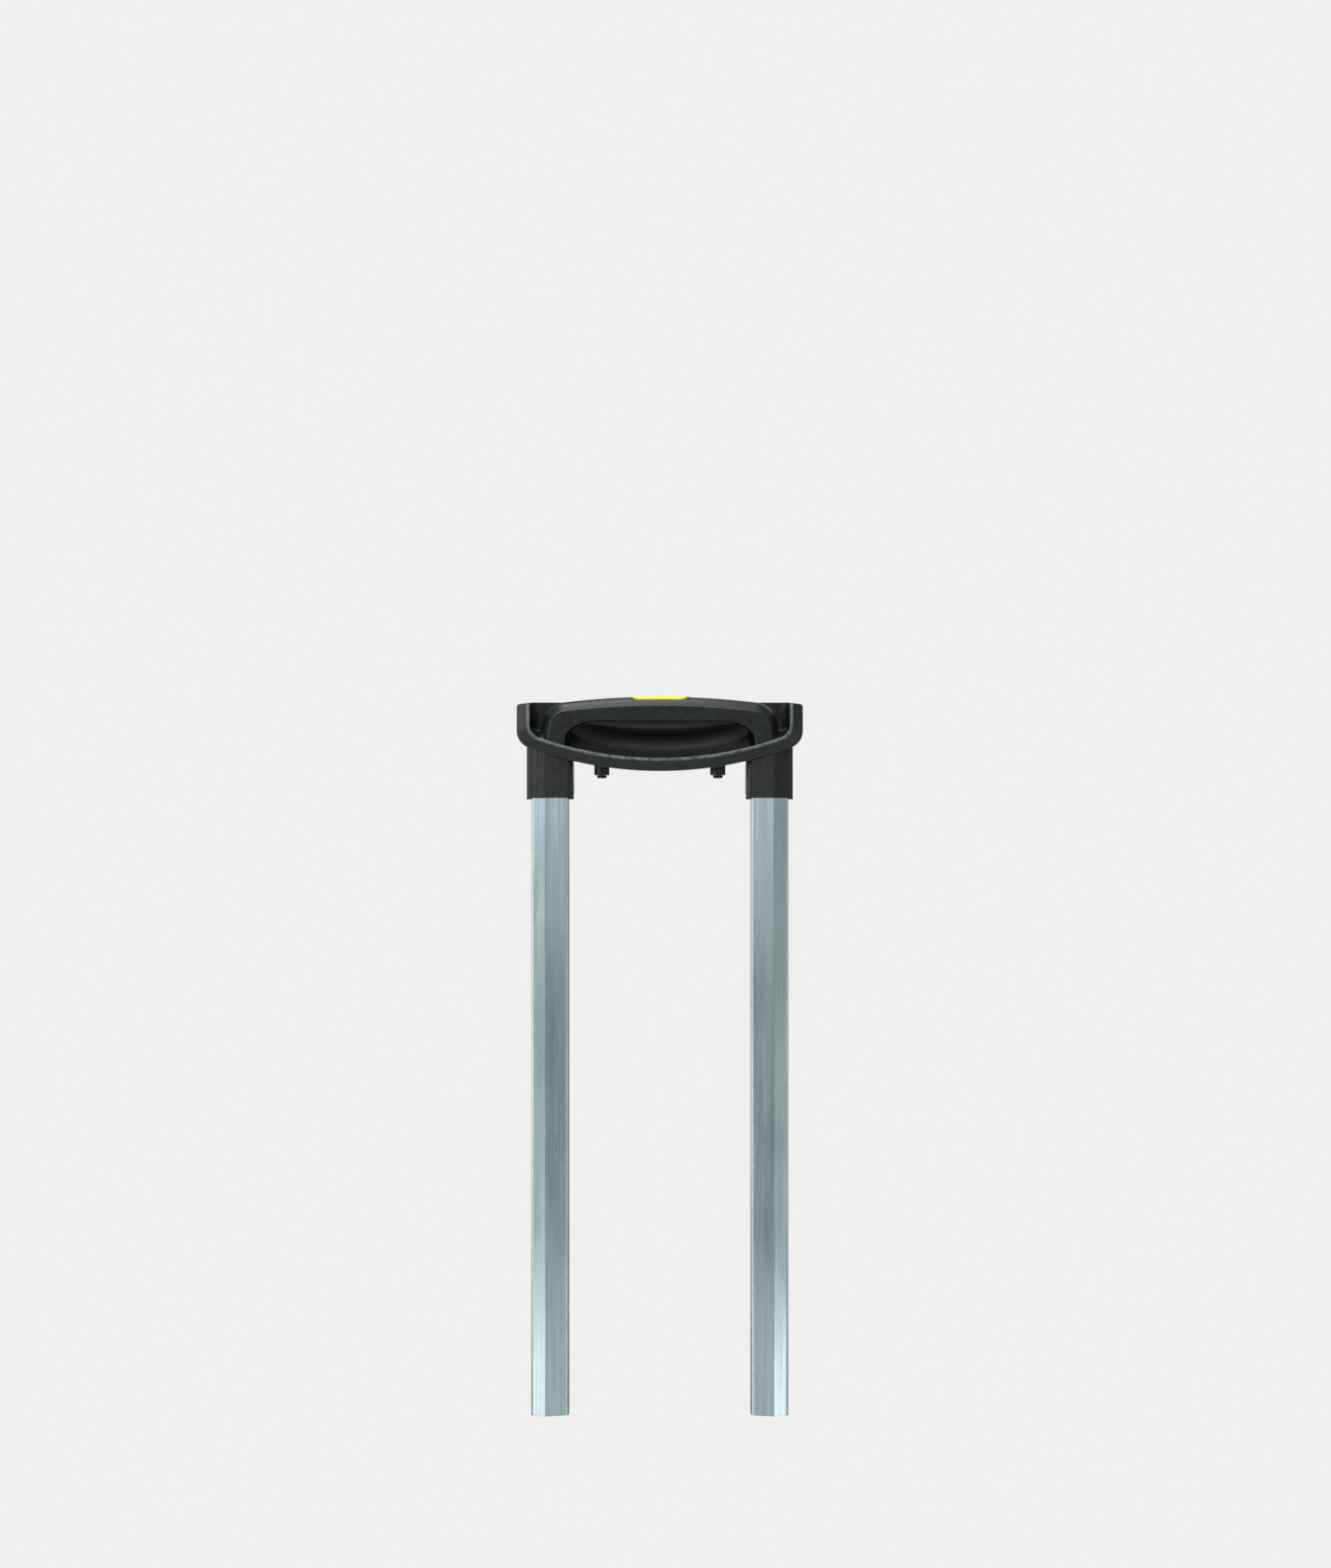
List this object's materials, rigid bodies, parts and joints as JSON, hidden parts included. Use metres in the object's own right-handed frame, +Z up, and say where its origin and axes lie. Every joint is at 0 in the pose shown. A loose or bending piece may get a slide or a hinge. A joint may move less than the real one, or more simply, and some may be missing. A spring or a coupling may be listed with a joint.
{
  "type": "telescopic trolley handle",
  "caption": "Telescopic pull handle for wheeled luggage: recessed tray, arched grip with a release button, collars and nested faceted aluminium tubes.",
  "frame": {"origin": "on the floor of the stowed handle, midway between the two tubes and on their centre plane", "axes": "+X to the right, -Y to the front of the handle, +Z up along the tubes"},
  "size_m": [0.19, 0.034, 0.4801],
  "materials": {
    "tray_plastic": "fine grain, satin",
    "tube_aluminium": "drawn, fine lengthwise lines",
    "collar_plastic": "smooth, half gloss",
    "black_screw": "black oxide",
    "stage_aluminium": "drawn, satin",
    "guide_plastic": "plain moulded nylon",
    "rivet_aluminium": "bright",
    "grip_plastic": "fine leather grain",
    "button_plastic": "yellow, satin",
    "rod_steel": "zinc plated",
    "spring_steel": "bright wire"
  },
  "bodies": {
    "frame": {"tray": "tray_plastic", "outer_tube_right": "tube_aluminium", "outer_tube_left": "tube_aluminium", "collar_right": "collar_plastic", "collar_left": "collar_plastic", "collar_screws": "black_screw", "base_screws": "black_screw"},
    "middle_stage": {"middle_tube_right": "stage_aluminium", "middle_tube_left": "stage_aluminium", "middle_collar_right": "guide_plastic", "middle_collar_left": "guide_plastic", "middle_lock_block_right": "guide_plastic", "middle_lock_block_left": "guide_plastic", "middle_block_rivets": "rivet_aluminium", "middle_pin_spring_right": "spring_steel", "middle_pin_spring_left": "spring_steel"},
    "grip_stage": {"inner_tube_right": "stage_aluminium", "inner_tube_left": "stage_aluminium", "inner_lock_block_right": "guide_plastic", "inner_lock_block_left": "guide_plastic", "inner_block_rivets": "rivet_aluminium", "grip_spigot_right": "guide_plastic", "grip_spigot_left": "guide_plastic", "spigot_rivets": "rivet_aluminium", "grip_front_shell": "grip_plastic", "grip_back_shell": "grip_plastic", "grip_screws": "black_screw", "release_spring_right": "spring_steel", "release_spring_left": "spring_steel", "inner_pin_spring_right": "spring_steel", "inner_pin_spring_left": "spring_steel"},
    "release": {"release_button": "button_plastic", "release_bar": "guide_plastic", "push_rod_right": "rod_steel", "push_rod_left": "rod_steel"},
    "middle_bolt_right": {"middle_pin_right": "rod_steel"},
    "middle_bolt_left": {"middle_pin_left": "rod_steel"},
    "inner_bolt_right": {"inner_pin_right": "rod_steel"},
    "inner_bolt_left": {"inner_pin_left": "rod_steel"}
  },
  "joints": [
    {"name": "middle_slide", "type": "slide", "parent": "frame", "child": "middle_stage", "axis": [0, 0, 1], "range_m": [0, 0.317]},
    {"name": "grip_slide", "type": "slide", "parent": "middle_stage", "child": "grip_stage", "axis": [0, 0, 1], "range_m": [0, 0.285]},
    {"name": "button_press", "type": "slide", "parent": "grip_stage", "child": "release", "axis": [0, 0, -1], "range_m": [0, 0.0035], "stiffness_N_per_m": 500, "springref_m": -0.004, "deforming": ["release_spring_right", "release_spring_left"]},
    {"name": "lock_pins", "type": "slide", "parent": "middle_stage", "child": "middle_bolt_right", "axis": [1, 0, 0], "range_m": [0, 0.0028], "deforming": ["middle_pin_spring_right"]},
    {"name": "inner_pin_right_slide", "type": "slide", "parent": "grip_stage", "child": "inner_bolt_right", "axis": [-1, 0, 0], "range_m": [0, 0.0019], "deforming": ["inner_pin_spring_right"]},
    {"name": "lock_pin_left", "type": "slide", "parent": "middle_stage", "child": "middle_bolt_left", "axis": [-1, 0, 0], "range_m": [0, 0.0028], "deforming": ["middle_pin_spring_left"]},
    {"name": "inner_pin_left_slide", "type": "slide", "parent": "grip_stage", "child": "inner_bolt_left", "axis": [1, 0, 0], "range_m": [0, 0.0019], "deforming": ["inner_pin_spring_left"]}
  ],
  "couplings": [
    {"joint": "lock_pin_left", "follows": "lock_pins", "ratio": 1},
    {"joint": "inner_pin_right_slide", "follows": "lock_pins", "ratio": 0.6785},
    {"joint": "inner_pin_left_slide", "follows": "lock_pins", "ratio": 0.6785}
  ]
}
